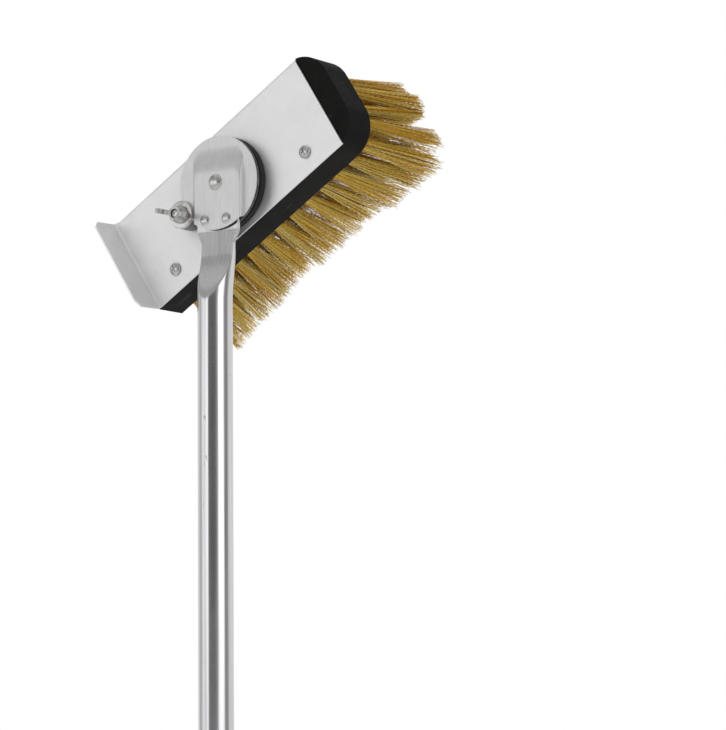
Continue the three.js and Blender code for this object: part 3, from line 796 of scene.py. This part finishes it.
def clamp_stud():
    pitch, depth, segments = 1, 0.35, 48
    tip = WASHER_FRONT - STUD_PROUD
    head_front = BLOCK_FRONT
    head_back = BLOCK_FRONT + STUD_HEAD_HEIGHT
    thread_end = 8
    rows = int((thread_end - tip) / (pitch / 8))
    rings = []
    for row in range(rows + 1):
        level = tip + row * pitch / 8
        ring = []
        for i in range(segments):
            turn = i / segments
            phase = (level / pitch - turn) % 1
            radius = STUD_RADIUS - depth * abs(2 * phase - 1)
            radius -= max(0, 0.6 - (level - tip)) * 0.8
            spin = turn * math.tau
            ring.append((radius * math.cos(spin), level, radius * math.sin(spin)))
        rings.append(ring)
    for radius, level in (
        (STUD_RADIUS, thread_end + 0.4),
        (STUD_RADIUS, head_front),
        (STUD_HEAD_RADIUS, head_front),
        (STUD_HEAD_RADIUS, head_back),
    ):
        rings.append([(radius * math.cos(i / segments * math.tau), level,
                       radius * math.sin(i / segments * math.tau)) for i in range(segments)])
    add_piece("clamp_stud_thread", lofted("clamp_stud_thread", rings), "head", "bright_hardware",
              STUD, ["clamp_stud"])


clamp_stud()

wing_nut = add_piece("wing_nut_cast", copied("wing_nut", STUD), "wing_nut", "bright_hardware", STUD,
                     ["wing_nut"], finish="cast_hardware", crease=None)
soften(wing_nut, 0.45, 3, 32)

# ---- Hidden washer keeps its CAD shape ----

hidden_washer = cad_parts["pivot_washer"].data
hidden_washer.materials.clear()
hidden_washer.materials.append(FINISH["dark_steel"])

# ---- Wires ----

TUFTS_PER_ROW = 13
WIRES_PER_TUFT = 138
WIRE_RADIUS = 0.2
WAVE_HEIGHT = 0.42
WIRE_STEPS = 32
HALF_ROW = 7  # tufts in the piece nearer the lip
ROW_STAGGER = (-0.2, 0.15, -0.05, 0.25, 0)  # shares of the tufts' spacing
FIRST_SEED = 410
ROOT_SUNK = 1.5
TUFT_TILT = 0.014
TUFT_UNEVEN = 1.4
TUFT_SPLAY = 0.1  # slope of a tuft's outer wires along the row
TUFT_FAN = 0.06  # the same across the rows
STRAY_ALONG = 0.028
STRAY_ACROSS = 0.024
OUTER_FAN = 0.045  # most slope of an outer wire past its row's own
LIP_SPLAY_LIMIT = -18.2
NOSE_SPLAY_LIMIT = 10.8
ROW_HOLLOW = 11  # the middle wires are shorter by this
TIP_SHORT = 1.2
TIP_UNEVEN = 1.7
BROKEN_SHARE = 0.06
BOW = 0.9


def nose_at(level):
    near = min(level - FREE_EDGE, NOSE_TOP - level)
    into = max(NOSE_CORNER - near, 0)
    return NOSE - NOSE_CORNER + math.sqrt(NOSE_CORNER ** 2 - into ** 2)


def wire_lines(index, tufts, rng):
    """Points along each wire of some of a row's tufts, as an array (wire, point, axis)."""
    place = index - (ROW_COUNT - 1) / 2
    lowest = FREE_EDGE + ROOT_INSET + ROOT_THICKNESS / 2
    highest = BLOCK_TOP - ROOT_INSET - ROOT_THICKNESS / 2
    middle = mixed(lowest, highest, index / (ROW_COUNT - 1))
    start = LIP_END + ROOT_INSET
    end = nose_at(middle) - ROOT_INSET
    root_radius = ROOT_THICKNESS / 2 - WIRE_RADIUS
    count = len(tufts) * WIRES_PER_TUFT
    tuft = np.repeat(tufts, WIRES_PER_TUFT)
    share = (tuft + 0.5 + ROW_STAGGER[index]) / TUFTS_PER_ROW
    angle = rng.uniform(0, math.tau, count)
    radius = np.sqrt(rng.uniform(0, 1, count)) * root_radius
    off_x, off_z = radius * np.cos(angle), radius * np.sin(angle)
    centre = np.clip(mixed(start, end, share), start + root_radius, end - root_radius)
    root = np.stack([centre + off_x, np.full(count, BLOCK_BACK - ROOT_SUNK), middle + off_z], 1)
    # the row fans out from the lip's end to the nose's end
    splay = np.radians(-18.5 + 13.7 * share + 15.8 * share ** 2)
    lean = math.radians(ROW_LEAN + place * ROW_FAN)
    tuft_tilt = np.repeat(rng.normal(0, TUFT_TILT, len(tufts)), WIRES_PER_TUFT)
    tuft_length = np.repeat(rng.normal(0, TUFT_UNEVEN, len(tufts)), WIRES_PER_TUFT)
    stray_x = rng.normal(0, STRAY_ALONG, count)
    slope_x = np.tan(splay) + off_x / root_radius * TUFT_SPLAY + tuft_tilt + stray_x
    lip_limit = math.tan(math.radians(LIP_SPLAY_LIMIT))
    nose_limit = math.tan(math.radians(NOSE_SPLAY_LIMIT))
    limit = np.where(share < 0.5, lip_limit, nose_limit)
    slope_x = np.where(share < 0.5, np.maximum(slope_x, limit), np.minimum(slope_x, limit))
    stray_z = rng.normal(0, STRAY_ACROSS, count)
    slope_z = math.tan(lean) + off_z / root_radius * TUFT_FAN + stray_z
    edge = math.copysign((ROW_COUNT - 1) / 2 * ROW_FAN, place)
    outermost = math.tan(math.radians(ROW_LEAN + edge)) + math.copysign(OUTER_FAN, place)
    slope_z = np.minimum(slope_z, outermost) if place > 0 else np.maximum(slope_z, outermost)
    hollow = ROW_HOLLOW * (1 - (2 * share - 1) ** 2)
    depth = WIRE_DEPTH - TIP_SHORT - hollow + tuft_length - np.abs(rng.normal(0, TIP_UNEVEN, count))
    depth -= np.where(rng.uniform(0, 1, count) < BROKEN_SHARE, rng.uniform(3, 12, count), 0)
    depth = np.minimum(depth, WIRE_DEPTH - 0.5)
    steps = np.linspace(0, 1, WIRE_STEPS + 1)
    down = steps[None, :] * depth[:, None]
    zigzag = np.where(np.arange(WIRE_STEPS + 1) % 2, 1, -1)[None, :]
    uneven = rng.uniform(0.5, 1.2, (count, WIRE_STEPS + 1))
    wave = WAVE_HEIGHT * zigzag * uneven * np.minimum(down / 6, 1)
    turn = rng.uniform(0, math.pi, count)[:, None]
    bow = rng.normal(0, BOW, (count, 2))
    x = root[:, 0:1] + down * slope_x[:, None] + wave * np.cos(turn) + bow[:, 0:1] * steps ** 2
    z = root[:, 2:3] + down * slope_z[:, None] + wave * np.sin(turn) + bow[:, 1:2] * steps ** 2
    y = root[:, 1:2] + down + 1.5 * steps
    return np.stack([x, y, z], 2)


def wire_mesh(name, line):
    """Each line of points as a closed three-sided wire."""
    around = 3
    spins = [corner / around * math.tau for corner in range(around)]
    corners = np.array(
        [[WIRE_RADIUS * math.cos(spin), 0, WIRE_RADIUS * math.sin(spin)] for spin in spins])
    points = (line[:, :, None, :] + corners[None, None, :, :]).reshape(-1, 3) * MM
    wire_base = (np.arange(len(line)) * (WIRE_STEPS + 1) * around)[:, None, None]
    ring_base = (np.arange(WIRE_STEPS) * around)[None, :, None]
    corner = np.arange(around)[None, None, :]
    a = wire_base + ring_base + corner
    b = wire_base + ring_base + (corner + 1) % around
    sides = np.stack([a, a + around, b + around, b], 3).reshape(-1, 4)
    first = wire_base[:, 0, :] + np.arange(around)[None, :]
    last = wire_base[:, 0, :] + WIRE_STEPS * around + np.arange(around)[None, ::-1]
    mesh = bpy.data.meshes.new(name)
    mesh.from_pydata(points.tolist(), [], sides.tolist() + first.tolist() + last.tolist())
    return mesh


def bristle_row(index):
    rng = np.random.default_rng(FIRST_SEED + index)
    for half, tufts in (("lip", range(HALF_ROW)), ("nose", range(HALF_ROW, TUFTS_PER_ROW))):
        name = f"bristle_row_{index + 1}_{half}_half"
        mesh = wire_mesh(name, wire_lines(index, np.array(tufts), rng))
        add_piece(name, mesh, "head", "brass_wire", HEAD, [f"bristle_row_{index + 1}"], crease=None)


for row in range(ROW_COUNT):
    bristle_row(row)

# ---- Stage, lights and surroundings ----

FLOOR_REACH = 60
FLOOR_LIFT = 0.28  # brighter to the camera than it is lit

floor_mesh = bpy.data.meshes.new("floor")
corners = ((-1, -1), (1, -1), (1, 1), (-1, 1))
floor_corners = [(x * FLOOR_REACH, y * FLOOR_REACH, 0) for x, y in corners]
floor_mesh.from_pydata(floor_corners, [], [(0, 1, 2, 3)])
floor = bpy.data.objects.new("floor", floor_mesh)
bpy.context.scene.collection.objects.link(floor)
floor_finish = bpy.data.materials.new("floor")
floor_finish.use_nodes = True
floor_shader = floor_finish.node_tree.nodes["Principled BSDF"]
floor_shader.inputs["Base Color"].default_value = (0.93, 0.93, 0.93, 1)
floor_shader.inputs["Roughness"].default_value = 0.9
floor_tree = floor_finish.node_tree
floor_sight = floor_tree.nodes.new("ShaderNodeLightPath")
floor_lift = floor_tree.nodes.new("ShaderNodeMath")
floor_lift.operation = "MULTIPLY"
floor_lift.inputs[1].default_value = FLOOR_LIFT
floor_tree.links.new(floor_sight.outputs["Is Camera Ray"], floor_lift.inputs[0])
floor_tree.links.new(floor_lift.outputs["Value"], floor_shader.inputs["Emission Strength"])
floor_shader.inputs["Emission Color"].default_value = (1, 1, 1, 1)
floor_mesh.materials.append(floor_finish)
floor.location.z = -0.001


def softbox(name, azimuth, elevation, distance, size, power):
    """A square area light aimed at the head."""
    turn, rise = math.radians(azimuth), math.radians(elevation)
    level = math.cos(rise)
    out = Vector((math.sin(turn) * level, -math.cos(turn) * level, math.sin(rise)))
    data = bpy.data.lights.new(name, "AREA")
    data.size = size
    data.energy = power
    light = bpy.data.objects.new(name, data)
    bpy.context.scene.collection.objects.link(light)
    light.location = pivot + out * distance
    light.rotation_euler = out.to_track_quat("Z", "Y").to_euler()
    light.visible_glossy = False


softbox("key", azimuth=-30, elevation=35, distance=2.2, size=1.2, power=26)
softbox("fill", azimuth=80, elevation=15, distance=2.4, size=1.4, power=4)


def surroundings():
    """Studio walls by direction, and plain white seen behind the object.

    The panels were set from the tones of the stripes on the photographed tube.
    """
    world = bpy.data.worlds.new("studio")
    bpy.context.scene.world = world
    world.use_nodes = True
    tree = world.node_tree
    tree.nodes.clear()

    def node(kind, **settings):
        made = tree.nodes.new(kind)
        for key, value in settings.items():
            setattr(made, key, value)
        return made

    direction = node("ShaderNodeTexCoord").outputs["Generated"]
    parts = node("ShaderNodeSeparateXYZ")
    tree.links.new(direction, parts.inputs["Vector"])
    flipped = node("ShaderNodeMath", operation="MULTIPLY")
    flipped.inputs[1].default_value = -1
    tree.links.new(parts.outputs["Y"], flipped.inputs[0])
    azimuth = node("ShaderNodeMath", operation="ARCTAN2")
    tree.links.new(parts.outputs["X"], azimuth.inputs[0])
    tree.links.new(flipped.outputs["Value"], azimuth.inputs[1])
    around = node("ShaderNodeMapRange")
    around.inputs["From Min"].default_value = -math.pi
    around.inputs["From Max"].default_value = math.pi
    tree.links.new(azimuth.outputs["Value"], around.inputs["Value"])
    walls = node("ShaderNodeValToRGB")
    # degrees from the front towards +X, and brightness
    panels = (
        (-180, 0.9), (-95, 0.9),  # left wall
        (-84, 0.62), (-66, 0.62),
        (-58, 1.15), (-46, 1.2), (-40, 1.1), (-30, 1.1),
        (-24, 1.5), (-14, 1.5),  # left window
        (-9, 0.2), (20, 0.14), (38, 0.2),  # dark behind the camera
        (46, 0.4), (53, 0.6),
        (58, 1.8), (88, 1.8),  # right window
        (95, 0.7), (101, 0.32), (117, 0.32),
        (128, 0.75), (140, 1), (180, 0.9),  # right wall
    )
    elements = walls.color_ramp.elements
    while len(elements) < len(panels):
        elements.new(0.5)
    brightest = 1.8
    for element, (degrees, value) in zip(elements, panels):
        element.position = (degrees + 180) / 360
        element.color = (value / brightest,) * 3 + (1,)
    tree.links.new(around.outputs["Result"], walls.inputs["Fac"])
    ceiling = node("ShaderNodeMapRange", interpolation_type="SMOOTHSTEP")
    ceiling.inputs["From Min"].default_value = 0.215
    ceiling.inputs["From Max"].default_value = 0.28
    tree.links.new(parts.outputs["Z"], ceiling.inputs["Value"])
    mixer = node("ShaderNodeMix", data_type="RGBA")
    sockets = [s for s in mixer.inputs if s.enabled]
    tree.links.new(ceiling.outputs["Result"], sockets[0])
    tree.links.new(walls.outputs["Color"], sockets[1])
    overhead = node("ShaderNodeValToRGB")
    heights = ((0.62, 0.46), (0.95, 0.78))
    for element, (position, value) in zip(overhead.color_ramp.elements, heights):
        element.position = position
        element.color = (value / brightest,) * 3 + (1,)
    tree.links.new(parts.outputs["Z"], overhead.inputs["Fac"])
    tree.links.new(overhead.outputs["Color"], sockets[2])
    lit = node("ShaderNodeBackground")
    lit.inputs["Strength"].default_value = brightest
    tree.links.new(next(s for s in mixer.outputs if s.enabled), lit.inputs["Color"])
    plain = node("ShaderNodeBackground")
    plain.inputs["Color"].default_value = (1, 1, 1, 1)
    seen = node("ShaderNodeLightPath")
    either = node("ShaderNodeMixShader")
    tree.links.new(seen.outputs["Is Camera Ray"], either.inputs["Fac"])
    tree.links.new(lit.outputs["Background"], either.inputs[1])
    tree.links.new(plain.outputs["Background"], either.inputs[2])
    output = node("ShaderNodeOutputWorld")
    tree.links.new(either.outputs["Shader"], output.inputs["Surface"])


surroundings()
